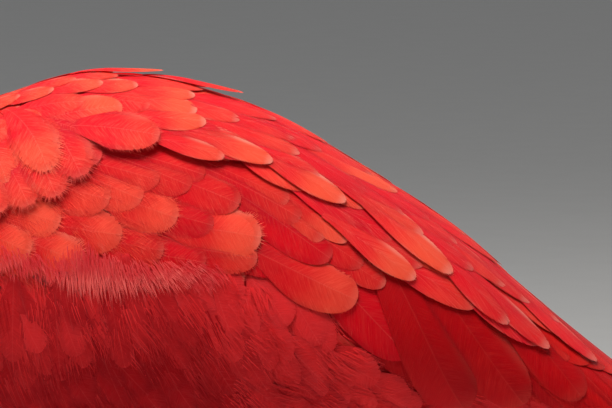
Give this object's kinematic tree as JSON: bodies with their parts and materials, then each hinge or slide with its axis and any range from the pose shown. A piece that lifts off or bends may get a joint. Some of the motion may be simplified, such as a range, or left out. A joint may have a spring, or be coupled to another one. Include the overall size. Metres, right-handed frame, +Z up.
{
  "type": "scarlet ibis",
  "caption": "Standing scarlet wading bird with a long down-curved bill, folded wings, closed tail and long bare legs.",
  "frame": {"origin": "on the floor, under the middle of the bird's bounding box", "axes": "the bird faces -X, its left side faces -Y, +Z up; +X is the longest extent and +Y the shortest"},
  "size_m": [0.4575, 0.1221, 0.4121],
  "materials": {
    "scarlet_plumage": "soft feather",
    "pink_skin": "scaly skin",
    "bill_horn": "polished horn",
    "claw_horn": "horn",
    "eye": "wet gloss"
  },
  "bodies": {
    "root": {"head": "scarlet_plumage", "neck_upper": "scarlet_plumage", "neck_lower": "scarlet_plumage", "torso": "scarlet_plumage", "mantle": "scarlet_plumage", "wing_left": "scarlet_plumage", "wing_right": "scarlet_plumage", "tail": "scarlet_plumage", "thigh_left": "scarlet_plumage", "thigh_right": "scarlet_plumage", "shank_left": "pink_skin", "shank_right": "pink_skin", "foot_left": "pink_skin", "foot_right": "pink_skin", "bill_upper": "bill_horn", "bill_lower": "bill_horn", "claw_left_inner": "claw_horn", "claw_left_middle": "claw_horn", "claw_left_outer": "claw_horn", "claw_left_hind": "claw_horn", "claw_right_inner": "claw_horn", "claw_right_middle": "claw_horn", "claw_right_outer": "claw_horn", "claw_right_hind": "claw_horn", "eye_left": "eye", "eye_right": "eye"}
  },
  "joints": []
}
